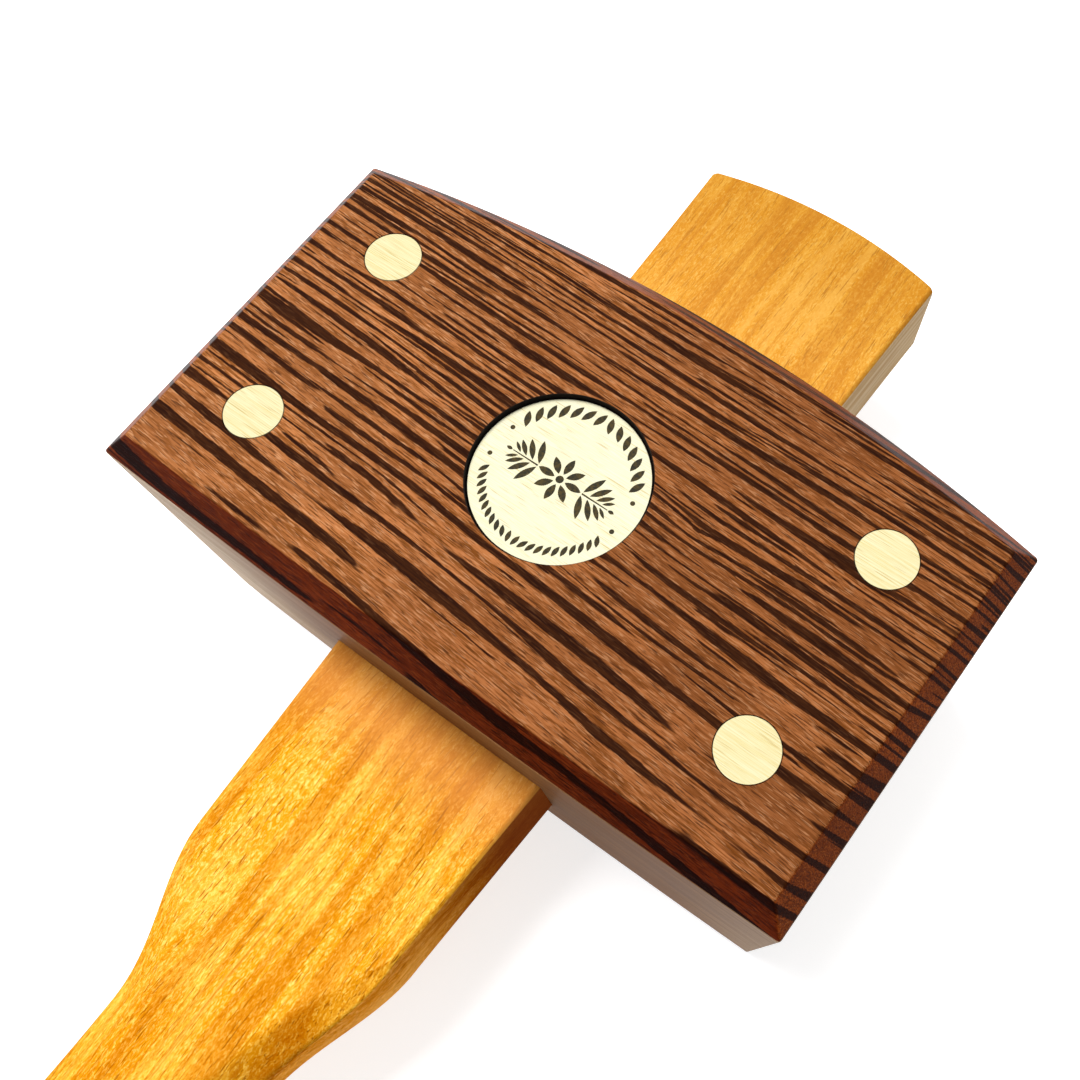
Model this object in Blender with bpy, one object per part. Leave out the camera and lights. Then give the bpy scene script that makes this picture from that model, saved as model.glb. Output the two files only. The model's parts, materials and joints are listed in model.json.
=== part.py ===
"""Joiner's mallet: a mortised head with striped cheeks, brass pins and a drop-in handle.

Metres, +Z up. The mallet lies on its back cheek at z = 0. X runs along the head, from one
striking face to the other, and +Y runs up the handle to its wide top end. The origin is under
the middle of the handle's length. The handle's sides taper, so it drops into the head from
above (+Y) and jams there.
"""

import math

import bmesh
import bpy

# --- driving dimensions, in metres -------------------------------------------------------

GAP = 0.0003  # clearance between pieces that touch

# head block, seen square on to its cheeks, with y measured from the middle of the pins
HEAD_THICKNESS = 0.0657
TOP_CORNER = (0.0651, 0.0318)
BOTTOM_CORNER = (0.0626, -0.0351)
TOP_RISE = 0.0069  # how far the crowned top stands above its corners
BOTTOM_RISE = 0.0008
CHEEK_THICKNESS = 0.0038
CHEEK_CHAMFER = 0.0037

# brass
PIN_RADIUS = 0.0047625
PIN_TOP = (0.0469, 0.0173)
PIN_BOTTOM = (0.0456, -0.0173)
DISC_RADIUS = 0.0140
DISC_THICKNESS = 0.0015
DISC_SINK = 0.0010  # disc's face below the cheek's face
DISC_Y = 0.0008

# handle
HANDLE_LENGTH = 0.300
HANDLE_THICKNESS = 0.0182
HANDLE_ABOVE = 0.0846  # top of the crowned end, above the middle of the pins
END_HALF_WIDTH = 0.0251
END_RISE = 0.0035
HALF_WIDTH_AT_MOUTH = 0.0212  # where the handle leaves the head's underside
ARRIS = 0.0007  # chamfer on the handle's long edges
BUTT_ROUND = 0.0045

# below the head: (distance below the middle of the pins, half width, half height of the side
# flat); the section eases from one line to the next
GRIP_STATIONS = (
    (0.0690, 0.0193, 0.0084),
    (0.0975, 0.0133, 0.0045),
    (0.1650, 0.0162, 0.0048),
    (0.2154, 0.0176, 0.0050),
)
GRIP_FLAT = 0.0061  # half width of the broad flat between the grip's facets
FACET_RUN = 0.0125  # the facets spread in from the edges over about this length
SMALLEST_FLAT = 0.002  # the flats' halves never shrink below these, even at the rounded butt
SMALLEST_SIDE = 0.001

# --- values that follow ------------------------------------------------------------------

MID_Z = HEAD_THICKNESS / 2
HEAD_Y = HANDLE_LENGTH / 2 - HANDLE_ABOVE  # middle of the pins, in the part's frame
BUTT_Y = -HANDLE_LENGTH / 2
HEAD_UNDERSIDE = BOTTOM_CORNER[1] - BOTTOM_RISE
SIDE_SLOPE = (END_HALF_WIDTH - HALF_WIDTH_AT_MOUTH) / (HANDLE_ABOVE - END_RISE - HEAD_UNDERSIDE)

ARC_SEGMENTS = 40
PIN_SEGMENTS = 48
DISC_SEGMENTS = 96
GRIP_STEPS = 44  # rings between the handle's shoulder and its butt
BUTT_STEPS = 4
SHARP_ANGLE = math.radians(30)
CUT_OVERRUN = 0.005  # how far a cutter runs past what it cuts


# --- scene and materials -----------------------------------------------------------------


def clear_scene():
    for item in list(bpy.data.objects):
        bpy.data.objects.remove(item, do_unlink=True)


def make_material(name, colour, roughness, metallic=0.0):
    material = bpy.data.materials.new(name)
    material.use_nodes = True
    shader = material.node_tree.nodes["Principled BSDF"]
    shader.inputs["Base Color"].default_value = (*colour, 1.0)
    shader.inputs["Roughness"].default_value = roughness
    shader.inputs["Metallic"].default_value = metallic
    material.diffuse_color = (*colour, 1.0)
    return material


# --- mesh helpers ------------------------------------------------------------------------


def loft(name, rings, material):
    """Join rings of equal length into one closed solid, capped at both ends."""
    bm = bmesh.new()
    rows = [[bm.verts.new(point) for point in ring] for ring in rings]
    count = len(rows[0])
    for lower, upper in zip(rows, rows[1:]):
        for i in range(count):
            j = (i + 1) % count
            bm.faces.new((lower[i], lower[j], upper[j], upper[i]))
    bm.faces.new(rows[0])
    bm.faces.new(rows[-1])
    bmesh.ops.recalc_face_normals(bm, faces=bm.faces)
    mesh = bpy.data.meshes.new(name)
    bm.to_mesh(mesh)
    bm.free()
    mesh.materials.append(material)
    mesh.shade_smooth()
    mesh.set_sharp_from_angle(angle=SHARP_ANGLE)
    solid = bpy.data.objects.new(name, mesh)
    bpy.context.scene.collection.objects.link(solid)
    return solid


def circle(x, y, z, radius, segments):
    turns = [2 * math.pi * i / segments for i in range(segments)]
    return [(x + radius * math.cos(a), y + radius * math.sin(a), z) for a in turns]


def round_bar(name, place, radius, bottom, top, segments, material):
    """Round bar along Z; place is its (x, y) measured from the middle of the pins."""
    x, y = place[0], place[1] + HEAD_Y
    rings = [circle(x, y, z, radius, segments) for z in (bottom, top)]
    return loft(name, rings, material)


def as_cutter(solid):
    solid.hide_render = True
    solid.display_type = "WIRE"
    return solid


def cut(solid, cutters):
    for cutter in cutters:
        boolean = solid.modifiers.new(cutter.name, "BOOLEAN")
        boolean.operation = "DIFFERENCE"
        boolean.object = cutter


# --- the head's outline ------------------------------------------------------------------


def crown(corner, rise):
    """Radius and centre height of the arc through both corners that stands out by rise."""
    half_chord = corner[0]
    radius = (half_chord**2 + rise**2) / (2 * rise)
    out = 1 if corner[1] > 0 else -1
    return radius, corner[1] + out * (rise - radius)


def half_length(y, inset):
    """Half the head's length at height y: its ends lean in towards the bottom."""
    lean = (TOP_CORNER[0] - BOTTOM_CORNER[0]) / (TOP_CORNER[1] - BOTTOM_CORNER[1])
    return BOTTOM_CORNER[0] + lean * (y - BOTTOM_CORNER[1]) - inset * math.hypot(1, lean)


def crown_points(corner, rise, inset):
    """Points of one crowned edge from its -X corner to its +X corner."""
    radius, centre = crown(corner, rise)
    out = 1 if corner[1] > 0 else -1
    radius -= inset
    y = corner[1]
    for _ in range(8):  # settle the corner onto both the arc and the leaning end
        x = half_length(y, inset)
        y = centre + out * math.sqrt(radius**2 - x**2)
    reach = math.asin(x / radius)
    turns = [reach * (2 * i / ARC_SEGMENTS - 1) for i in range(ARC_SEGMENTS + 1)]
    return [(radius * math.sin(a), centre + out * radius * math.cos(a)) for a in turns]


def head_outline(inset, z):
    """Ring round the head at height z, drawn in from its full size by inset."""
    top = crown_points(TOP_CORNER, TOP_RISE, inset)
    bottom = crown_points(BOTTOM_CORNER, BOTTOM_RISE, inset)
    return [(x, y + HEAD_Y, z) for x, y in bottom + top[::-1]]


# --- the handle's sections ---------------------------------------------------------------


def side_at(y):
    """The handle's tapered half width at y, measured from the middle of the pins."""
    return HALF_WIDTH_AT_MOUTH + SIDE_SLOPE * (y - HEAD_UNDERSIDE)


def ease(start, end, t):
    return start + (end - start) * (0.5 - 0.5 * math.cos(math.pi * t))


def section_at(y):
    """The handle's half width and the halves of its broad and side flats at y, from the pins."""
    below = -y
    shoulder, shoulder_half, side = GRIP_STATIONS[0]
    if y >= HEAD_UNDERSIDE:
        half = side_at(y)
        return half, half - ARRIS, side
    if below <= shoulder:
        t = (HEAD_UNDERSIDE - y) / (HEAD_UNDERSIDE + shoulder)
        half = HALF_WIDTH_AT_MOUTH + (shoulder_half - HALF_WIDTH_AT_MOUTH) * t
        return half, half - ARRIS, side
    for upper, lower in zip(GRIP_STATIONS, GRIP_STATIONS[1:]):
        if upper[0] <= below:
            t = min((below - upper[0]) / (lower[0] - upper[0]), 1)
            half, side = (ease(a, b, t) for a, b in zip(upper[1:], lower[1:]))
    fade = math.exp((shoulder - below) / FACET_RUN)
    flat = GRIP_FLAT * half / GRIP_STATIONS[1][1]
    return half, flat + (shoulder_half - ARRIS - flat) * fade, side


def handle_ring(y, shrink=0.0):
    """Eight-sided ring across the handle at y, drawn in all round by shrink."""
    half, flat, side = section_at(y)
    half -= shrink
    thick = HANDLE_THICKNESS / 2 - shrink
    flat = max(flat - shrink, SMALLEST_FLAT)
    side = max(side - shrink, SMALLEST_SIDE)
    quarter = [(half, side), (flat, thick)]
    corners = quarter + [(-x, z) for x, z in quarter[::-1]]
    corners += [(-x, -z) for x, z in corners]
    return [(x, y + HEAD_Y, MID_Z + z) for x, z in corners]


def handle_rings():
    """Rings from above the crowned end down to the rounded butt."""
    top = HANDLE_ABOVE + CUT_OVERRUN
    shoulder = -GRIP_STATIONS[0][0]
    butt = BUTT_Y - HEAD_Y
    stations = [top, HEAD_UNDERSIDE, shoulder]
    grip_length = shoulder - (butt + BUTT_ROUND)
    stations += [shoulder - grip_length * (i + 1) / GRIP_STEPS for i in range(GRIP_STEPS)]
    rings = [handle_ring(y) for y in stations]
    for i in range(1, BUTT_STEPS + 1):
        turn = math.radians(90 * i / BUTT_STEPS)
        y = butt + BUTT_ROUND * (1 - math.sin(turn))
        rings.append(handle_ring(y, BUTT_ROUND * (1 - math.cos(turn))))
    return rings


# --- pieces ------------------------------------------------------------------------------


def make_handle(timber):
    handle = loft("handle", handle_rings(), timber)
    radius = (END_HALF_WIDTH**2 + END_RISE**2) / (2 * END_RISE)
    top_y = HANDLE_LENGTH / 2
    reach = math.asin((END_HALF_WIDTH + CUT_OVERRUN) / radius)
    turns = [reach * (1 - 2 * i / ARC_SEGMENTS) for i in range(ARC_SEGMENTS + 1)]
    profile = [(radius * math.sin(a), top_y - radius * (1 - math.cos(a))) for a in turns]
    high = top_y + 2 * CUT_OVERRUN
    profile += [(profile[-1][0], high), (profile[0][0], high)]
    depth = HANDLE_THICKNESS / 2 + CUT_OVERRUN
    rings = [[(x, y, MID_Z + z) for x, y in profile] for z in (-depth, depth)]
    cut(handle, [as_cutter(loft("crowned_end_cutter", rings, timber))])
    return handle


def make_mortise_cutter(timber):
    """Tapered cutter with a running clearance all round the handle."""
    thick = HANDLE_THICKNESS / 2 + GAP
    rings = []
    for y in (HEAD_UNDERSIDE - CUT_OVERRUN, TOP_CORNER[1] + TOP_RISE + CUT_OVERRUN):
        half = side_at(y) + GAP
        corners = [(half, thick), (-half, thick), (-half, -thick), (half, -thick)]
        rings.append([(x, y + HEAD_Y, MID_Z + z) for x, z in corners])
    return as_cutter(loft("mortise_cutter", rings, timber))


def pin_places():
    for row, (x, y) in (("top", PIN_TOP), ("bottom", PIN_BOTTOM)):
        yield row + "_left", (-x, y)
        yield row + "_right", (x, y)


def make_head(core_timber, cheek_timber, brass):
    bores = []
    for name, place in pin_places():
        round_bar("pin_" + name, place, PIN_RADIUS, 0, HEAD_THICKNESS, PIN_SEGMENTS, brass)
        reach = (-CUT_OVERRUN, HEAD_THICKNESS + CUT_OVERRUN)
        bore = round_bar("bore_" + name, place, PIN_RADIUS + GAP, *reach, PIN_SEGMENTS, brass)
        bores.append(as_cutter(bore))

    core_bottom = CHEEK_THICKNESS + GAP / 2
    core_top = HEAD_THICKNESS - core_bottom
    core = loft("core", [head_outline(0, core_bottom), head_outline(0, core_top)], core_timber)
    cut(core, [make_mortise_cutter(core_timber), *bores])

    cheek_depth = CHEEK_THICKNESS - GAP / 2
    back_rings = [head_outline(CHEEK_CHAMFER, 0), head_outline(0, cheek_depth)]
    back = loft("back_cheek", back_rings, cheek_timber)
    cut(back, bores)

    front_rings = [
        head_outline(0, HEAD_THICKNESS - cheek_depth),
        head_outline(CHEEK_CHAMFER, HEAD_THICKNESS),
    ]
    front = loft("front_cheek", front_rings, cheek_timber)
    disc_top = HEAD_THICKNESS - DISC_SINK
    disc_bottom = disc_top - DISC_THICKNESS
    place = (0, DISC_Y)
    round_bar("medallion", place, DISC_RADIUS, disc_bottom, disc_top, DISC_SEGMENTS, brass)
    floor = disc_bottom - GAP
    above = HEAD_THICKNESS + CUT_OVERRUN
    size = (DISC_RADIUS + GAP, floor, above, DISC_SEGMENTS)
    recess = round_bar("recess_cutter", place, *size, brass)
    cut(front, [as_cutter(recess), *bores])


def main():
    clear_scene()
    cheek_timber = make_material("striped_timber", (0.36, 0.17, 0.08), 0.45)
    core_timber = make_material("core_timber", (0.60, 0.50, 0.38), 0.5)
    handle_timber = make_material("honey_timber", (0.72, 0.40, 0.11), 0.4)
    brass = make_material("brass", (0.86, 0.76, 0.45), 0.3, metallic=1.0)
    make_head(core_timber, cheek_timber, brass)
    make_handle(handle_timber)


main()
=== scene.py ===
"""Looks of the joiner's mallet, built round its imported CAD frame.

Metres, +Z up, in the frame's own axes: X along the head, +Y up the handle, and the mallet lies
on its back cheek. Each piece is rebuilt with softened edges and stands for the CAD node that it
follows. The timbers are solid 3-D patterns in millimetres from the middle of the pins.
"""

import json
import math

import bmesh
import bpy
from mathutils import Matrix, Vector


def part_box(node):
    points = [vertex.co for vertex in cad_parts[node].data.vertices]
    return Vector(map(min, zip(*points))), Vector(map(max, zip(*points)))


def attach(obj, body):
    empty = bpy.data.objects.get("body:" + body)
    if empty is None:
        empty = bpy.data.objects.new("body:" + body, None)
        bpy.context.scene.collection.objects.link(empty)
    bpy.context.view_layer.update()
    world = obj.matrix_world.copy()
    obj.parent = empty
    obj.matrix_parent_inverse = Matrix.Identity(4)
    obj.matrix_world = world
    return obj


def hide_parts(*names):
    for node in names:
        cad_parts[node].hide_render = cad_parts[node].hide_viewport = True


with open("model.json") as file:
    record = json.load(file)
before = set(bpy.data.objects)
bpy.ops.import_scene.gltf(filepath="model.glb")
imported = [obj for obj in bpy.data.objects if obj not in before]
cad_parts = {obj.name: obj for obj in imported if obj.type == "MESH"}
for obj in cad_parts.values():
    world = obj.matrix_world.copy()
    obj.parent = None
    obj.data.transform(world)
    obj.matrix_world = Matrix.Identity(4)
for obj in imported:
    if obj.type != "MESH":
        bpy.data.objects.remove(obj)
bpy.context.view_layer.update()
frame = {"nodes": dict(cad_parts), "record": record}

# --- sizes read from the frame, and the few that it can't give ----------------------------

MM = 0.001
FRONT_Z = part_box("front_cheek")[1].z
MID_Z = FRONT_Z / 2
PINS = sorted(name for name in frame["nodes"] if name.startswith("pin_"))
HEAD_Y = sum(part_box(name)[0].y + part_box(name)[1].y for name in PINS) / (2 * len(PINS))
HANDLE_LOW, HANDLE_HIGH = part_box("handle")

TOP_CORNER = (65.1 * MM, 31.8 * MM)  # x, and y from the middle of the pins
BOTTOM_CORNER = (62.6 * MM, -35.1 * MM)
TOP_RISE = 6.9 * MM
BOTTOM_RISE = 0.8 * MM
CHEEK_CHAMFER = 3.7 * MM
CHEEK_ARRIS = 0.42 * MM  # how far a cheek's softened arrises run to each side
HALF_GAP = 0.15 * MM  # half of the gap that the frame leaves between two glued pieces
GLUE_LINE = 0.12 * MM  # dark line left between two glued pieces
OVERRUN = 5 * MM  # how far a cutter runs past what it cuts

RECESS_PLAY = 0.28 * MM  # between the disc's rim and the wall of its recess
RECESS_EASE = 0.10 * MM  # small chamfer at the recess's mouth
ENGRAVING = 0.15 * MM  # depth of the disc's ornament
BORDER_RADIUS = 11.75  # millimetres, to the middle of the ornament's border
ROUND_SEGMENTS = 96
DISC_SEGMENTS = 160

SHARP = 32  # degrees; edges that turn by more stay sharp
HEAD_SHARP = 40  # the same for pieces whose arrises are filleted in wider steps
HEAD_UNDERSIDE = BOTTOM_CORNER[1] - BOTTOM_RISE
HANDLE_THICKNESS = HANDLE_HIGH.z - HANDLE_LOW.z
END_HALF_WIDTH = 25.1 * MM
END_RISE = 3.5 * MM
END_Y = HANDLE_HIGH.y - HEAD_Y
HALF_WIDTH_AT_MOUTH = 21.2 * MM
ARRIS = 0.7 * MM
BUTT_ROUND = 4.5 * MM
GRIP_STATIONS = (  # distance below the middle of the pins, half width, half height of side flat
    (69.0 * MM, 19.3 * MM, 8.4 * MM),
    (97.5 * MM, 13.3 * MM, 4.5 * MM),
    (165.0 * MM, 16.2 * MM, 4.8 * MM),
    (215.4 * MM, 17.6 * MM, 5.0 * MM),
)
GRIP_FLAT = 6.1 * MM
FACET_RUN = 12.5 * MM
SMALLEST_FLAT, SMALLEST_SIDE = 2 * MM, 1 * MM
ARRIS_RUN = 0.4  # millimetres, of the rounding beside each arris above the grip
ARRIS_RUN_GAIN = 1.7  # how much wider that gets over the first GRIP_EASE of the grip
GRIP_EASE = 45 * MM
RING_SPACING = 1.25 * MM  # between the grip's rings
BUTT_RINGS = 6
END_EASE = 0.5 * MM  # rounding of the crowned top end
FLAT_STEPS = 12  # points across half of each broad flat, so that the top end can be crowned
SIDE_SLOPE = (END_HALF_WIDTH - HALF_WIDTH_AT_MOUTH) / (END_Y - END_RISE - HEAD_UNDERSIDE)

PIN_TONES = (0.80, 0.68, 0.32), (0.97, 0.90, 0.58)
DISC_TONES = (0.86, 0.80, 0.50), (0.98, 0.96, 0.74)

# --- mesh helpers -------------------------------------------------------------------------


def fillet(points, radius, closed, steps=3, least_turn=20):
    """Round each corner of a line of 2-D points that turns by more than least_turn degrees."""
    count = len(points)
    rounded = []
    for i, here in enumerate(points):
        here = Vector(here)
        if not closed and i in (0, count - 1):
            rounded.append(here)
            continue
        before = Vector(points[i - 1]) - here
        after = Vector(points[(i + 1) % count]) - here
        if before.angle(after) > math.radians(180 - least_turn):
            rounded.append(here)
            continue
        start = here + before.normalized() * min(radius, before.length * 0.45)
        end = here + after.normalized() * min(radius, after.length * 0.45)
        for k in range(steps + 1):
            t = k / steps
            rounded.append(start * (1 - t) ** 2 + here * 2 * t * (1 - t) + end * t * t)
    return rounded


def mesh_object(name, bm, materials, sharp=SHARP):
    bmesh.ops.recalc_face_normals(bm, faces=bm.faces)
    mesh = bpy.data.meshes.new(name)
    bm.to_mesh(mesh)
    bm.free()
    for material in materials:
        mesh.materials.append(material)
    mesh.shade_smooth()
    mesh.set_sharp_from_angle(angle=math.radians(sharp))
    piece = bpy.data.objects.new(name, mesh)
    bpy.context.scene.collection.objects.link(piece)
    return piece


def loft(name, rings, materials, sharp=SHARP, strip_caps=False):
    """Join rings of equal length into one closed solid, capped at both ends.

    Strip caps join each point to the one opposite in the ring's second half.
    """
    bm = bmesh.new()
    rows = [[bm.verts.new(point) for point in ring] for ring in rings]
    count = len(rows[0])
    for lower, upper in zip(rows, rows[1:]):
        for i in range(count):
            j = (i + 1) % count
            bm.faces.new((lower[i], lower[j], upper[j], upper[i]))
    for row in (rows[0], rows[-1]):
        if strip_caps:
            for i in range(count // 2 - 1):
                bm.faces.new((row[i], row[i + 1], row[-2 - i], row[-1 - i]))
        else:
            bm.faces.new(row)
    return mesh_object(name, bm, materials, sharp)


def circle(centre, radius, z, segments):
    turns = [2 * math.pi * i / segments for i in range(segments)]
    x, y = centre
    return [(x + radius * math.cos(a), y + radius * math.sin(a), z) for a in turns]


def turned(name, centre, profile, materials, segments=ROUND_SEGMENTS):
    """Solid of revolution about Z; profile is a list of (radius, z)."""
    return loft(name, [circle(centre, r, z, segments) for r, z in profile], materials)


def carve(piece, cutters):
    """Cut the cutters out of piece for good, and clear them away."""
    for cutter in cutters:
        boolean = piece.modifiers.new(cutter.name, "BOOLEAN")
        boolean.operation = "DIFFERENCE"
        boolean.object = cutter
    bpy.context.view_layer.update()
    evaluated = piece.evaluated_get(bpy.context.evaluated_depsgraph_get())
    mesh = bpy.data.meshes.new_from_object(evaluated)
    piece.modifiers.clear()
    piece.data = mesh
    mesh.set_sharp_from_angle(angle=math.radians(HEAD_SHARP))
    for cutter in cutters:
        bpy.data.objects.remove(cutter)
    return piece


def even_normals(piece):
    """Shade large flats as flats, and leave the turning to the narrow arrises."""
    weighted = piece.modifiers.new("even_normals", "WEIGHTED_NORMAL")
    weighted.weight = 100
    weighted.keep_sharp = True


def stand_in(piece, node):
    """Piece takes the CAD node's place and body."""
    even_normals(piece)
    body = next(b for b, nodes in frame["record"]["behaviour"]["bodies"].items() if node in nodes)
    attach(piece, body)
    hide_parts(node)
    return piece


# --- node helpers -------------------------------------------------------------------------


class Nodes:
    """Short calls that add shader nodes to one material; each returns an output socket."""

    def __init__(self, name):
        self.material = bpy.data.materials.new(name)
        self.material.use_nodes = True
        self.tree = self.material.node_tree
        self.shader = self.tree.nodes["Principled BSDF"]

    def feed(self, socket, value):
        if isinstance(value, bpy.types.NodeSocket):
            self.tree.links.new(value, socket)
        elif value is not None:
            socket.default_value = value

    def add(self, kind, inputs, **settings):
        node = self.tree.nodes.new(kind)
        for key, value in settings.items():
            setattr(node, key, value)
        for key, value in inputs.items():
            self.feed(node.inputs[key], value)
        return node

    def head_frame(self):
        """Object coordinates in millimetres, from the middle of the pins."""
        place = self.add("ShaderNodeTexCoord", {}).outputs["Object"]
        moved = self.vector("SUBTRACT", place, (0, HEAD_Y, MID_Z))
        return self.vector("SCALE", moved, scale=1 / MM)

    def vector(self, operation, a, b=None, scale=None):
        inputs = {0: a}
        if b is not None:
            inputs[1] = b
        if scale is not None:
            inputs["Scale"] = scale
        return self.add("ShaderNodeVectorMath", inputs, operation=operation).outputs[0]

    def length(self, vector):
        node = self.add("ShaderNodeVectorMath", {0: vector}, operation="LENGTH")
        return node.outputs["Value"]

    def split(self, vector):
        return self.add("ShaderNodeSeparateXYZ", {0: vector}).outputs

    def join(self, x, y, z):
        return self.add("ShaderNodeCombineXYZ", {0: x, 1: y, 2: z}).outputs[0]

    def math(self, operation, a, b=None, c=None):
        inputs = {i: v for i, v in enumerate((a, b, c)) if v is not None}
        return self.add("ShaderNodeMath", inputs, operation=operation).outputs[0]

    def noise(self, vector, stretch, detail=2.0, roughness=0.5, distortion=0.0):
        """Noise with features about stretch millimetres long along each axis, from 0 to 1."""
        scaled = self.vector("DIVIDE", vector, stretch)
        inputs = {"Vector": scaled, "Scale": 1.0, "Detail": detail, "Roughness": roughness,
                  "Distortion": distortion}
        return self.add("ShaderNodeTexNoise", inputs).outputs["Fac"]

    def between(self, value, low, high, to_low=0.0, to_high=1.0):
        """Smooth step of value from low to high."""
        inputs = {"Value": value, "From Min": low, "From Max": high, "To Min": to_low,
                  "To Max": to_high}
        node = self.add("ShaderNodeMapRange", inputs, interpolation_type="SMOOTHSTEP")
        return node.outputs["Result"]

    def mix(self, factor, a, b, blend="MIX"):
        node = self.add("ShaderNodeMix", {}, data_type="RGBA", blend_type=blend)
        colour = [s for s in node.inputs if s.type == "RGBA"]
        self.feed(node.inputs["Factor"], factor)
        self.feed(colour[0], a if isinstance(a, bpy.types.NodeSocket) else (*a, 1.0))
        self.feed(colour[1], b if isinstance(b, bpy.types.NodeSocket) else (*b, 1.0))
        return next(s for s in node.outputs if s.type == "RGBA")

    def facing(self):
        """The surface's direction in the object's own axes, as x, y and z."""
        return self.split(self.add("ShaderNodeTexCoord", {}).outputs["Normal"])

    def times(self, colour, tint):
        return self.mix(1.0, colour, tint, "MULTIPLY")

    def bump(self, height, distance, strength):
        inputs = {"Height": height, "Distance": distance, "Strength": strength}
        return self.add("ShaderNodeBump", inputs).outputs["Normal"]

    def finish(self, colour, roughness, normal=None, metallic=0.0, **constants):
        """Feed the shader and return the material; constants go on the shader's own sockets."""
        self.feed(self.shader.inputs["Base Color"], colour)
        self.feed(self.shader.inputs["Roughness"], roughness)
        self.feed(self.shader.inputs["Normal"], normal)
        self.shader.inputs["Metallic"].default_value = metallic
        for key, value in constants.items():
            self.shader.inputs[key.replace("_", " ")].default_value = value
        return self.material


# --- materials ----------------------------------------------------------------------------


def striped_timber():
    """Reddish brown timber with dark, tapering stripes that run along the head."""
    n = Nodes("striped_timber")
    place = n.head_frame()
    x, y, z = n.split(place)
    # the stripes lean a little, more so low on the head, where they are also further apart
    lean = n.math("MULTIPLY_ADD", y, -0.0007, 0.043)
    level = n.math("MULTIPLY_ADD", x, lean, y)
    level = n.math("MULTIPLY_ADD", z, 0.30, level)
    knot = n.vector("DIVIDE", n.vector("SUBTRACT", place, (22, 5, MID_Z / MM)), (7, 3, 14))
    near = n.math("EXPONENT", n.math("MULTIPLY", n.length(knot), -1.0))
    level = n.math("MULTIPLY_ADD", near, 1.5, level)
    pitch = n.math("MULTIPLY_ADD", level, 0.0022, 0.33)
    layer = n.math("MULTIPLY", level, pitch)
    drift = n.noise(place, (60, 8, 30), detail=1.0)
    layer = n.math("MULTIPLY_ADD", drift, 1.2, layer)
    # the fibres lean more than the stripes
    along = n.join(x, n.math("MULTIPLY_ADD", x, 0.07, y), z)
    fibre = n.noise(along, (3.0, 0.20, 0.20), detail=2.0, roughness=0.6)
    layer = n.math("MULTIPLY_ADD", fibre, 0.14, layer)

    def stripes(per_layer, start, run, least, most):
        """Sine ridges whose width swells and dies away along the grain."""
        turn = n.math("MULTIPLY_ADD", layer, 2 * math.pi * per_layer, start)
        across = n.join(x, n.math("ADD", layer, start), z)
        swell = n.noise(across, (run, 0.55 / per_layer, 30), detail=0.0)
        bar = n.between(swell, 0.32, 0.66, least, most)
        return n.math("SUBTRACT", n.math("SINE", turn), bar)

    broad = stripes(1.0, 0.0, 30, 1.15, 0.02)
    narrow = stripes(1.7, 2.1, 20, 1.7, 0.20)
    narrow = n.math("SUBTRACT", narrow, n.between(y, -8, -24, 0, 0.7))
    dark = n.between(n.math("MAXIMUM", broad, narrow), -0.05, 0.11)

    grain = n.noise(along, (7.0, 0.32, 0.32), detail=4.0, roughness=0.75)
    cloud = n.noise(place, (24, 7, 14), detail=2.0)
    fleck = n.between(n.noise(along, (2.2, 0.20, 0.20), detail=1.0), 0.57, 0.68)
    pore = n.between(n.noise(n.vector("ADD", along, (7, 3, 1)), (3.0, 0.19, 0.19)), 0.56, 0.65)
    ground = n.mix(n.between(grain, 0.40, 0.60), (0.118, 0.036, 0.006), (0.290, 0.109, 0.036))
    ground = n.mix(n.between(cloud, 0.35, 0.65, 0, 0.6), ground, (0.135, 0.045, 0.012))
    ground = n.mix(n.math("MULTIPLY", fleck, 0.55), ground, (0.36, 0.185, 0.090))
    ground = n.mix(n.math("MULTIPLY", pore, 0.75), ground, (0.034, 0.010, 0.003))
    ground = n.mix(n.between(x, -50, 40), ground, n.times(ground, (0.74, 0.68, 0.63)))
    stripe = n.mix(n.between(grain, 0.35, 0.65), (0.010, 0.002, 0.0004), (0.026, 0.007, 0.0015))
    stripe = n.mix(n.math("MULTIPLY", fleck, 0.18), stripe, (0.12, 0.05, 0.02))
    colour = n.mix(dark, ground, stripe)
    # painted shade on the bevels and on the other faces that turn away from +Z, darkest on those
    # that face -Y
    facing = n.facing()
    tint = n.mix(n.between(facing[1], -0.2, -0.6), (0.74, 0.44, 0.18), (0.36, 0.14, 0.05))
    painted_shading = n.times(colour, tint)
    colour = n.mix(n.between(n.math("ABSOLUTE", facing[2]), 0.95, 0.80), colour, painted_shading)
    height = n.math("MULTIPLY_ADD", pore, -0.5, grain)
    roughness = n.between(grain, 0.2, 0.8, 0.36, 0.50)
    return n.finish(colour, roughness, n.bump(height, 0.00004, 0.6), Specular_IOR_Level=0.045)


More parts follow.
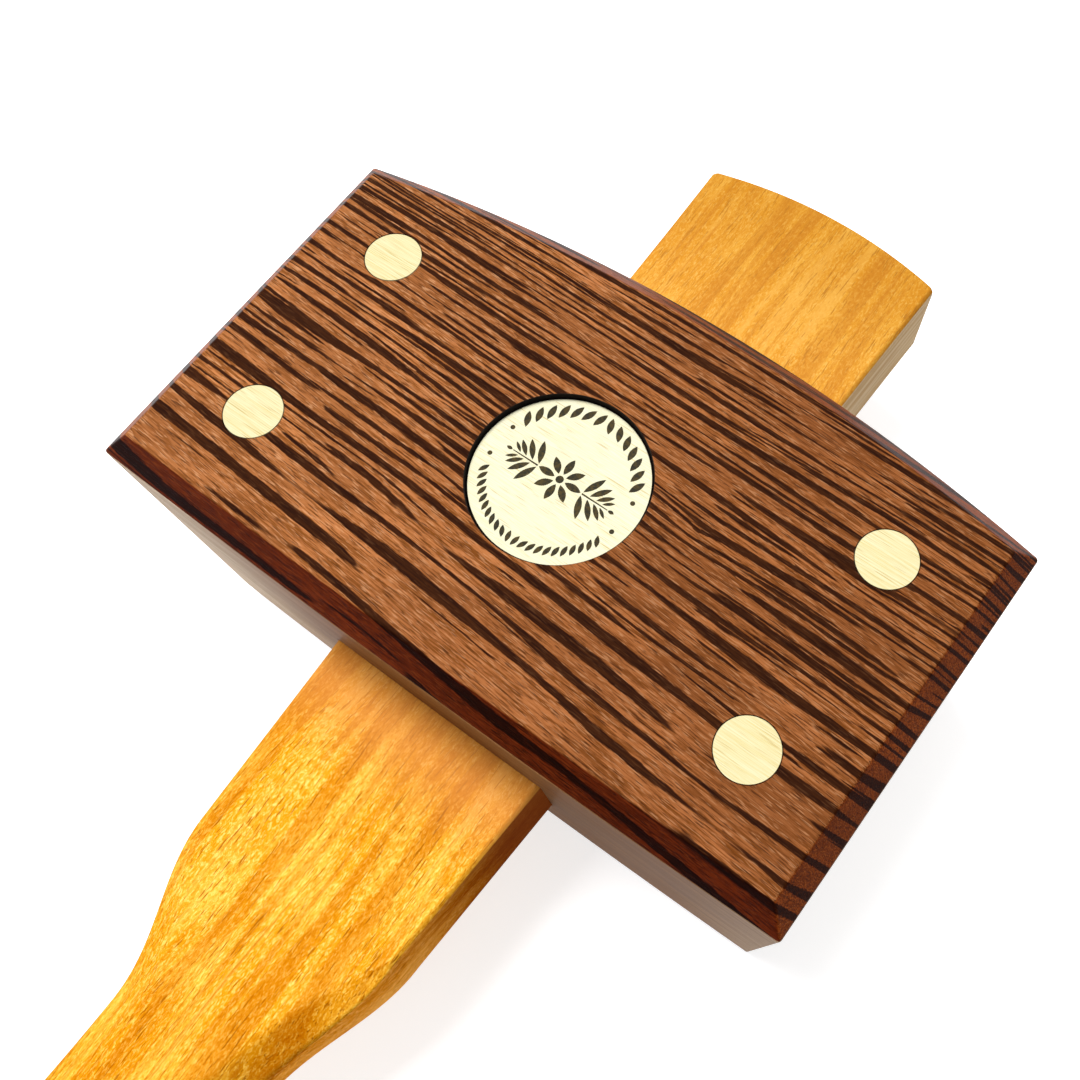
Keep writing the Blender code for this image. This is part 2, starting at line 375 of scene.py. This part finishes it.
def core_timber():
    """Pale grey-brown timber with close grain along the head."""
    n = Nodes("core_timber")
    place = n.head_frame()
    grain = n.noise(place, (14, 0.45, 0.45), detail=4.0, roughness=0.62)
    band = n.noise(place, (60, 5, 5), detail=2.0)
    speck = n.between(n.noise(place, (1.3, 0.16, 0.16), detail=1.0), 0.64, 0.74)
    colour = n.mix(n.between(grain, 0.28, 0.72), (0.36, 0.26, 0.165), (0.70, 0.58, 0.43))
    colour = n.mix(n.between(band, 0.35, 0.7, 0, 0.5), colour, (0.35, 0.235, 0.13))
    colour = n.mix(n.math("MULTIPLY", speck, 0.6), colour, (0.16, 0.10, 0.055))
    # painted shade and warm bounce light from the handle: browner low on the head, from the -X
    # end towards the handle and past it
    x, y, _ = n.split(place)
    painted_shade = n.math("SUBTRACT", n.between(x, -64, -8), n.between(x, 44, 68, 0, 0.45))
    painted_shade = n.math("MULTIPLY", painted_shade, n.between(y, -8, -32))
    colour = n.mix(painted_shade, colour, n.times(colour, (0.40, 0.24, 0.13)))
    roughness = n.between(grain, 0.2, 0.8, 0.42, 0.56)
    return n.finish(colour, roughness, n.bump(grain, 0.00004, 0.4), Specular_IOR_Level=0.015)


def honey_timber():
    """Golden timber whose grain runs up the handle, with a rippled, shimmering figure."""
    n = Nodes("honey_timber")
    place = n.head_frame()
    y = n.split(place)[1]
    bend = n.noise(place, (20, 70, 20), detail=1.0)
    curved = n.vector("ADD", place, n.join(n.math("MULTIPLY", bend, 10.0), 0.0, 0.0))
    bands = n.noise(curved, (3.4, 120, 8), detail=3.0, roughness=0.6)
    lines = n.noise(curved, (0.9, 38, 1.2), detail=2.0, roughness=0.6)
    ripple = n.noise(curved, (0.32, 1.0, 0.5), detail=3.0, roughness=0.75, distortion=0.7)
    shimmer = n.noise(curved, (6, 18, 9), detail=2.0, roughness=0.5)
    pore = n.between(n.noise(curved, (0.20, 3.5, 0.20), detail=1.0), 0.62, 0.70)
    colour = n.mix(n.between(shimmer, 0.40, 0.68), (0.500, 0.215, 0.006), (0.600, 0.320, 0.035))
    colour = n.mix(n.between(ripple, 0.49, 0.66, 0, 0.75), colour, (0.700, 0.470, 0.125))
    colour = n.mix(n.between(ripple, 0.50, 0.33, 0, 0.7), colour, (0.380, 0.125, 0.001))
    shade = n.times(colour, (0.74, 0.56, 0.30))
    colour = n.mix(n.between(bands, 0.52, 0.36, 0, 0.85), colour, shade)
    colour = n.mix(n.between(bands, 0.55, 0.66, 0, 0.5), colour, (0.660, 0.400, 0.085))
    colour = n.mix(n.between(lines, 0.57, 0.68, 0, 0.75), colour, shade)
    colour = n.mix(n.math("MULTIPLY", pore, 0.8), colour, (0.200, 0.060, 0.002))
    # deeper towards the grip, and painted shade on the facets that face +X
    deeper_and_shaded = n.times(colour, (0.90, 0.80, 0.45))
    facing = n.facing()
    low = n.math("MAXIMUM", n.between(y, -72, -115, 0, 0.7), n.between(facing[0], 0.12, 0.35))
    colour = n.mix(low, colour, deeper_and_shaded)
    # paler and duller above the head; painted shade just below it, where the head shades the
    # handle
    dull = n.mix(0.45, n.times(colour, (0.78, 0.74, 0.80)), (0.375, 0.175, 0.032))
    dull = n.mix(n.between(y, 45, 85), dull, n.times(dull, (0.86, 0.83, 0.66)))
    colour = n.mix(n.between(y, 20, 30), colour, dull)
    painted_head_shade = n.mix(0.55, n.times(colour, (0.84, 0.72, 0.80)), (0.440, 0.175, 0.040))
    head_shade_mask = n.math("MULTIPLY", n.between(y, -55, -40), n.between(y, 25, 15))
    colour = n.mix(head_shade_mask, colour, painted_head_shade)
    # painted light on the sides: a pale painted reflection above the head, painted shade towards
    # the head below it, and a paler, bluer painted sheen lower down
    tint = n.mix(n.between(y, -78, -44), (1.50, 1.35, 2.4), (0.60, 0.38, 0.40))
    painted_shading = n.times(colour, tint)
    painted_side_reflection = n.mix(n.between(lines, 0.42, 0.62), (0.66, 0.54, 0.37), (0.52, 0.38, 0.22))
    side = n.mix(n.between(y, 20, 30), painted_shading, n.mix(0.75, colour, painted_side_reflection))
    on_side = n.between(n.math("ABSOLUTE", facing[0]), 0.80, 0.95)
    colour = n.mix(on_side, colour, side)
    roughness = n.between(ripple, 0.3, 0.7, 0.32, 0.44)
    normal = n.bump(n.math("MULTIPLY_ADD", pore, -0.6, ripple), 0.00005, 0.5)
    return n.finish(colour, roughness, normal, Specular_IOR_Level=0.0)


def brass(name, low, high):
    """Sanded brass between two tones: fine straight lines along the head."""
    n = Nodes(name)
    place = n.head_frame()
    fine = n.noise(place, (9, 0.16, 0.16), detail=3.0, roughness=0.7)
    coarse = n.between(n.noise(place, (5, 0.16, 0.16), detail=1.0), 0.60, 0.74)
    colour = n.mix(n.between(fine, 0.3, 0.7), low, high)
    colour = n.mix(n.math("MULTIPLY", coarse, 0.7), colour, (0.62, 0.45, 0.16))
    roughness = n.between(fine, 0.25, 0.75, 0.26, 0.40)
    normal = n.bump(fine, 0.00002, 0.35)
    return n.finish(colour, roughness, normal, metallic=1.0)


def dark_fill():
    """Dark olive filling of the engraved ornament, with a burnished brown cast."""
    n = Nodes("dark_fill")
    place = n.head_frame()
    mottle = n.noise(place, (0.5, 0.4, 0.4), detail=3.0)
    colour = n.mix(n.between(mottle, 0.35, 0.65), (0.014, 0.013, 0.008), (0.040, 0.028, 0.009))
    return n.finish(colour, 0.55, n.bump(mottle, 0.00002, 0.4), Specular_IOR_Level=0.2)


def painted_recess_shade():
    """Near-black timber on the wall of the round recess: painted shade."""
    n = Nodes("painted_recess_shade")
    place = n.head_frame()
    grain = n.noise(place, (2.0, 0.2, 0.2), detail=2.0)
    colour = n.mix(n.between(grain, 0.3, 0.7), (0.004, 0.002, 0.0015), (0.016, 0.008, 0.005))
    return n.finish(colour, 0.8)


def floor_white():
    """Pale floor that glows a little, so that shadows on it stay light."""
    n = Nodes("floor_white")
    place = n.head_frame()
    tone = n.noise(place, (60, 60, 60), detail=2.0)
    colour = n.mix(n.between(tone, 0.3, 0.7), (0.46, 0.46, 0.47), (0.49, 0.49, 0.50))
    n.shader.inputs["Emission Color"].default_value = (1, 1, 1, 1)
    return n.finish(colour, 0.6, Emission_Strength=0.74)


# --- the head -----------------------------------------------------------------------------


def half_length(y, inset):
    """Half the head's length at height y: its ends lean in towards the bottom."""
    lean = (TOP_CORNER[0] - BOTTOM_CORNER[0]) / (TOP_CORNER[1] - BOTTOM_CORNER[1])
    return BOTTOM_CORNER[0] + lean * (y - BOTTOM_CORNER[1]) - inset * math.hypot(1, lean)


def crowned_edge(corner, rise, inset, segments=64):
    """Points along one crowned edge, from its -X corner to its +X corner."""
    radius = (corner[0] ** 2 + rise**2) / (2 * rise)
    out = 1 if corner[1] > 0 else -1
    centre = corner[1] + out * (rise - radius)
    radius -= inset
    y = corner[1]
    for _ in range(8):  # repeat, to settle the corner onto both the arc and the leaning end
        x = half_length(y, inset)
        y = centre + out * math.sqrt(radius**2 - x**2)
    reach = math.asin(x / radius)
    turns = [reach * (2 * i / segments - 1) for i in range(segments + 1)]
    return [(radius * math.sin(a), centre + out * radius * math.cos(a)) for a in turns]


def head_ring(inset, z, corner_radius=0.5 * MM):
    bottom = crowned_edge(BOTTOM_CORNER, BOTTOM_RISE, inset)
    top = crowned_edge(TOP_CORNER, TOP_RISE, inset)
    points = fillet(bottom + top[::-1], corner_radius, closed=True)
    return [(p.x, p.y + HEAD_Y, z) for p in points]


def make_cheek(name, node, outer_z, timber, cutters):
    """Chamfered plate with softened arrises; outer_z is the height of its outer face."""
    low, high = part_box(node)
    inner_z = low.z if outer_z > MID_Z else high.z
    up = 1 if outer_z > MID_Z else -1
    inner_z -= up * (HALF_GAP - GLUE_LINE / 2)
    ease = 0.12 * MM
    profile = [(2 * ease, inner_z), (0, inner_z), (CHEEK_CHAMFER, outer_z),
               (CHEEK_CHAMFER + 2 * MM, outer_z)]
    profile = fillet(profile, CHEEK_ARRIS, closed=False)
    rings = [head_ring(inset, z) for inset, z in profile]
    plate = carve(loft(name, rings, [timber], HEAD_SHARP), cutters)
    return stand_in(plate, node)


def round_place(node):
    """Centre (x, y) and radius of a pin or the disc."""
    low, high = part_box(node)
    return ((low.x + high.x) / 2, (low.y + high.y) / 2), (high.x - low.x) / 2


def pin_bores():
    """Fresh cutters for the four pins; each use of them clears them away."""
    bores = []
    for node in PINS:
        centre, radius = round_place(node)
        radius += GLUE_LINE / 2
        profile = [(radius, -OVERRUN), (radius, FRONT_Z + OVERRUN)]
        bores.append(turned("bore_" + node, centre, profile, []))
    return bores


def make_pins(material):
    ease, rim = 0.10 * MM, 0.6 * MM
    for node in PINS:
        centre, radius = round_place(node)
        profile = [(radius - rim, 0), (radius - ease, 0), (radius, ease),
                   (radius, FRONT_Z - ease), (radius - ease, FRONT_Z), (radius - rim, FRONT_Z)]
        rod = turned(node + "_rod", centre, profile, [material])
        stand_in(rod, node)


def leaf(length, width, steps=8):
    """Outline of a pointed leaf that grows from the origin along +X."""
    upper = [(length * i / steps, width / 2 * math.sin(math.pi * i / steps) ** 0.85)
             for i in range(steps + 1)]
    return upper + [(x, -y) for x, y in upper[-2:0:-1]]


def moved(outline, turn, place):
    """Outline turned by turn degrees and shifted to place."""
    cos, sin = math.cos(math.radians(turn)), math.sin(math.radians(turn))
    return [(x * cos - y * sin + place[0], x * sin + y * cos + place[1]) for x, y in outline]


def at_angle(radius, degrees):
    turn = math.radians(degrees)
    return radius * math.cos(turn), radius * math.sin(turn)


def leaf_border():
    """Two arcs of leaves round the disc's rim that lean towards each arc's middle."""
    outlines = []
    arcs = ((28, 152, 14, 2.9, 1.10), (205, 335, 22, 2.0, 0.78))
    for start, end, count, length, width in arcs:
        middle = (start + end) / 2
        for i in range(count):
            degrees = start + (end - start) * i / (count - 1)
            lean = 38 * min(max((middle - degrees) / 8, -1), 1)
            centre = Vector(at_angle(BORDER_RADIUS, degrees))
            foot = centre - Vector(at_angle(length / 2, degrees + lean))
            outlines.append(moved(leaf(length, width), degrees + lean, foot))
    for degrees in (15, 165, 192, 348):  # a dot at each end of both arcs
        centre = at_angle(BORDER_RADIUS, degrees)
        outlines.append(moved([at_angle(0.40, 30 * k) for k in range(12)], 0, centre))
    return outlines


def centre_spray():
    """A rosette between two leafy sprigs, mirrored left and right."""
    outlines = [moved(leaf(3.0, 1.20), 45 * k, at_angle(0.95, 45 * k)) for k in range(8)]
    outlines.append([at_angle(0.65, 24 * k) for k in range(15)])
    sprig = [moved(leaf(1.1, 0.60), 0, (9.0, 0))]
    pairs = ((4.2, 4.0, 66), (5.4, 3.6, 52), (6.6, 2.9, 42), (7.7, 2.0, 36))
    for x, length, spread in pairs:
        for side in (1, -1):
            sprig.append(moved(leaf(length, 0.27 * length), side * spread, (x, side * 0.30)))
    stem = [(4.15, -0.14), (8.9, -0.08), (8.9, 0.08), (4.15, 0.14)]
    for outline in [*sprig, stem]:
        outlines.append(outline)
        outlines.append([(-x, y) for x, y in outline[::-1]])
    return outlines


def prisms(name, outlines, centre, low, high, grow, materials):
    """One mesh of upright prisms; each outline, in millimetres, is grown about its middle."""
    bm = bmesh.new()
    for outline in outlines:
        middle = sum((Vector(p) for p in outline), Vector((0, 0))) / len(outline)
        points = [(Vector(p) - middle) * grow + middle for p in outline]
        rows = [[bm.verts.new((p.x * MM + centre[0], p.y * MM + centre[1], z)) for p in points]
                for z in (low, high)]
        for i in range(len(points)):
            j = (i + 1) % len(points)
            bm.faces.new((rows[0][i], rows[0][j], rows[1][j], rows[1][i]))
        bm.faces.new(rows[0][::-1])
        bm.faces.new(rows[1])
    return mesh_object(name, bm, materials, sharp=30)


def make_medallion(metal, fill):
    """Brass disc with engraved leaves, and the dark filling that lies in them."""
    low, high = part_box("medallion")
    centre, radius = round_place("medallion")
    ease = 0.10 * MM
    profile = [(radius - ease, low.z), (radius, low.z + ease), (radius, high.z - ease),
               (radius - ease, high.z)]
    disc = turned("disc", centre, profile, [metal], DISC_SEGMENTS)
    outlines = leaf_border() + centre_spray()
    floor_z = high.z - ENGRAVING
    pockets = prisms("pockets", outlines, centre, floor_z, high.z + 1 * MM, 1.0, [])
    carve(disc, [pockets])
    stand_in(disc, "medallion")
    top_z = high.z - 0.3 * ENGRAVING
    filling = prisms("disc_filling", outlines, centre, floor_z + 0.005 * MM, top_z, 0.98, [fill])
    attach(filling, "head")


def recess_cutter():
    """Round cutter for the disc's seat, a little wider than the disc."""
    centre, radius = round_place("medallion")
    floor_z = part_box("medallion")[0].z - 0.1 * MM
    wall = radius + RECESS_PLAY
    mouth = wall + RECESS_EASE
    profile = [(wall, floor_z), (wall, FRONT_Z - 0.08 * MM), (mouth, FRONT_Z + 0.02 * MM),
               (mouth, FRONT_Z + OVERRUN)]
    return turned("recess", centre, profile, [], DISC_SEGMENTS)


def darken_recess(plate, shade_material):
    """Give the recess's wall and floor their painted shade."""
    centre, radius = round_place("medallion")
    reach = radius + RECESS_PLAY + 0.08 * MM
    plate.data.materials.append(shade_material)
    for face in plate.data.polygons:
        away = math.hypot(face.center.x - centre[0], face.center.y - centre[1])
        if away < reach and MID_Z < face.center.z < FRONT_Z - 0.01 * MM:
            face.material_index = 1


def make_core(timber, bores):
    """The head's middle block, with the tapered mortise right through it."""
    low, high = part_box("core")
    low_z = low.z - (HALF_GAP - GLUE_LINE / 2)
    high_z = high.z + (HALF_GAP - GLUE_LINE / 2)
    ease = 0.15 * MM
    profile = [(ease, low_z), (0, low_z + ease), (0, high_z - ease), (ease, high_z)]
    rings = [head_ring(inset, z) for inset, z in profile]
    core = loft("core_block", rings, [timber], HEAD_SHARP)
    thick = HANDLE_THICKNESS / 2 + GLUE_LINE
    rings = []
    for y in (HEAD_UNDERSIDE - OVERRUN, TOP_CORNER[1] + TOP_RISE + OVERRUN):
        half = wedge_half(y) + GLUE_LINE
        corners = [(half, thick), (-half, thick), (-half, -thick), (half, -thick)]
        rings.append([(x, y + HEAD_Y, MID_Z + z) for x, z in corners])
    mortise = loft("mortise", rings, [])
    carve(core, [mortise, *bores])
    return stand_in(core, "core")


# --- the handle ---------------------------------------------------------------------------


def wedge_half(y):
    """Half width of the tapered upper part at y."""
    return HALF_WIDTH_AT_MOUTH + SIDE_SLOPE * (y - HEAD_UNDERSIDE)


def ease_between(start, end, t):
    return start + (end - start) * (0.5 - 0.5 * math.cos(math.pi * t))


def handle_sizes(y):
    """Half width, and the halves of the broad and side flats, at y."""
    below = -y
    shoulder, shoulder_half, side = GRIP_STATIONS[0]
    if y >= HEAD_UNDERSIDE:
        half = wedge_half(y)
        return half, half - ARRIS, side
    if below <= shoulder:
        t = (HEAD_UNDERSIDE - y) / (HEAD_UNDERSIDE + shoulder)
        half = HALF_WIDTH_AT_MOUTH + (shoulder_half - HALF_WIDTH_AT_MOUTH) * t
        return half, half - ARRIS, side
    for upper, lower in zip(GRIP_STATIONS, GRIP_STATIONS[1:]):
        if upper[0] <= below:
            t = min((below - upper[0]) / (lower[0] - upper[0]), 1)
            half, side = (ease_between(a, b, t) for a, b in zip(upper[1:], lower[1:]))
    fade = math.exp((shoulder - below) / FACET_RUN)
    flat = GRIP_FLAT * half / GRIP_STATIONS[1][1]
    return half, flat + (shoulder_half - ARRIS - flat) * fade, side


def handle_section(y, shrink=0.0):
    """Rounded eight-sided section at y, as (x, z) points from the handle's middle.

    The upper half runs from +X to -X and the lower half back, point for point below it.
    """
    half, flat, side = handle_sizes(y)
    half -= shrink
    thick = HANDLE_THICKNESS / 2 - shrink
    flat = max(flat - shrink, SMALLEST_FLAT)
    side = max(side - shrink, SMALLEST_SIDE)
    into_grip = min(max((-y - GRIP_STATIONS[0][0]) / GRIP_EASE, 0), 1)
    ends = [(half, 0), (half, side), (flat, thick), (0, thick)]
    run = (ARRIS_RUN + ARRIS_RUN_GAIN * into_grip) * MM
    corner = fillet(ends, run, closed=False, steps=5, least_turn=0)
    start = corner[-2].x
    across = [Vector((start * (1 - i / FLAT_STEPS), thick)) for i in range(1, FLAT_STEPS + 1)]
    quarter = [(p.x, p.y) for p in corner[1:-1] + across]
    upper = quarter + [(-x, z) for x, z in quarter[-2::-1]]
    return upper + [(x, -z) for x, z in upper[::-1]]


def crown_drop(x):
    """How far the handle's top end falls away from its peak at x."""
    radius = (END_HALF_WIDTH**2 + END_RISE**2) / (2 * END_RISE)
    return radius - math.sqrt(radius**2 - x**2)


def make_handle(timber):
    """The whole handle, from its rounded butt up to its crowned top end."""
    butt = HANDLE_LOW.y - HEAD_Y
    shoulder = -GRIP_STATIONS[0][0]
    rings = []  # y, and how much the section shrinks there
    for i in range(BUTT_RINGS):
        turn = math.radians(90 * i / BUTT_RINGS)
        y = butt + BUTT_ROUND * (1 - math.cos(turn))
        rings.append((y, BUTT_ROUND * (1 - math.sin(turn))))
    y = butt + BUTT_ROUND
    while y < shoulder - 0.5 * MM:
        rings.append((y, 0.0))
        y += RING_SPACING
    rings += [(shoulder, 0.0), (HEAD_UNDERSIDE, 0.0), (END_Y - 20 * MM, 0.0)]
    shapes = [[(x, y + HEAD_Y, MID_Z + z) for x, z in handle_section(y, s)] for y, s in rings]
    ease = END_EASE
    crowned = ((END_Y - 2 * ease, 0), (END_Y - ease, 0), (END_Y - ease * 0.3, ease * 0.3),
               (END_Y, ease))
    for y, shrink in crowned:
        section = handle_section(y, shrink)
        shapes.append([(x, y - crown_drop(x) + HEAD_Y, MID_Z + z) for x, z in section])
    handle = loft("handle_timber", shapes, [timber], HEAD_SHARP, strip_caps=True)
    return stand_in(handle, "handle")


# --- camera, floor and light --------------------------------------------------------------


def look(camera, place, forward, up):
    """Stand the camera at place, looking along forward."""
    back = -Vector(forward).normalized()
    right = Vector(up).cross(back).normalized()
    axes = Matrix((right, back.cross(right), back)).transposed()
    camera.matrix_world = Matrix.Translation(place) @ axes.to_4x4()


def make_camera():
    data = bpy.data.cameras.new("camera")
    data.sensor_width = 36.0
    data.lens = 34.07
    data.shift_x = -0.1063
    data.shift_y = 0.0227
    data.clip_start = 0.005
    camera = bpy.data.objects.new("camera", data)
    bpy.context.scene.collection.objects.link(camera)
    place = (0.05316, HEAD_Y - 0.04636, FRONT_Z + 0.13674)
    look(camera, place, (-0.22539, 0.29714, -0.92785), (-0.53191, 0.76037, 0.37271))
    bpy.context.scene.camera = camera


def make_floor():
    bm = bmesh.new()
    bmesh.ops.create_grid(bm, x_segments=8, y_segments=8, size=1.5)
    floor = mesh_object("floor", bm, [floor_white()])
    floor.location.z = -0.05 * MM


def make_key_light():
    """Square soft light high on the -X side; it gives shade and no mirror image."""
    data = bpy.data.lights.new("key", "AREA")
    data.shape = "RECTANGLE"
    data.size = data.size_y = 0.30
    data.energy = 13.0
    light = bpy.data.objects.new("key", data)
    bpy.context.scene.collection.objects.link(light)
    place, target = Vector((-0.24, 0.11, 0.82)), Vector((0, 0.03, 0))
    turn = (target - place).to_track_quat("-Z", "Y").to_matrix().to_4x4()
    light.matrix_world = Matrix.Translation(place) @ turn
    light.visible_glossy = False


def make_world():
    """Pale surround, brightest overhead towards -X and +Y."""
    world = bpy.data.worlds.new("studio")
    world.use_nodes = True
    tree = world.node_tree
    coords = tree.nodes.new("ShaderNodeTexCoord")
    toward = tree.nodes.new("ShaderNodeVectorMath")
    toward.operation = "DOT_PRODUCT"
    toward.inputs[1].default_value = Vector((-0.32, 0.28, 0.90)).normalized()
    tree.links.new(coords.outputs["Generated"], toward.inputs[0])
    glow = tree.nodes.new("ShaderNodeMapRange")
    glow.interpolation_type = "SMOOTHSTEP"
    ramp = {"From Min": 0.45, "From Max": 0.92, "To Min": 0.08, "To Max": 1.35}
    for key, value in ramp.items():
        glow.inputs[key].default_value = value
    tree.links.new(toward.outputs["Value"], glow.inputs["Value"])
    seen = tree.nodes.new("ShaderNodeMath")  # the eye sees a pale backdrop in every direction
    seen.operation = "MAXIMUM"
    ray = tree.nodes.new("ShaderNodeLightPath")
    tree.links.new(ray.outputs["Is Camera Ray"], seen.inputs[0])
    tree.links.new(glow.outputs["Result"], seen.inputs[1])
    background = tree.nodes["Background"]
    background.inputs["Color"].default_value = (0.93, 0.93, 0.93, 1)
    tree.links.new(seen.outputs[0], background.inputs["Strength"])
    bpy.context.scene.world = world


def make_studio():
    make_camera()
    make_floor()
    make_world()
    make_key_light()
    bpy.context.scene.view_settings.view_transform = "Standard"


def main():
    make_studio()
    striped = striped_timber()
    pin_brass = brass("pin_brass", *PIN_TONES)
    disc_brass = brass("disc_brass", *DISC_TONES)
    cutters = [*pin_bores(), recess_cutter()]
    front = make_cheek("front_plate", "front_cheek", FRONT_Z, striped, cutters)
    darken_recess(front, painted_recess_shade())
    make_cheek("back_plate", "back_cheek", 0.0, striped, pin_bores())
    make_core(core_timber(), pin_bores())
    make_pins(pin_brass)
    make_medallion(disc_brass, dark_fill())
    make_handle(honey_timber())


main()
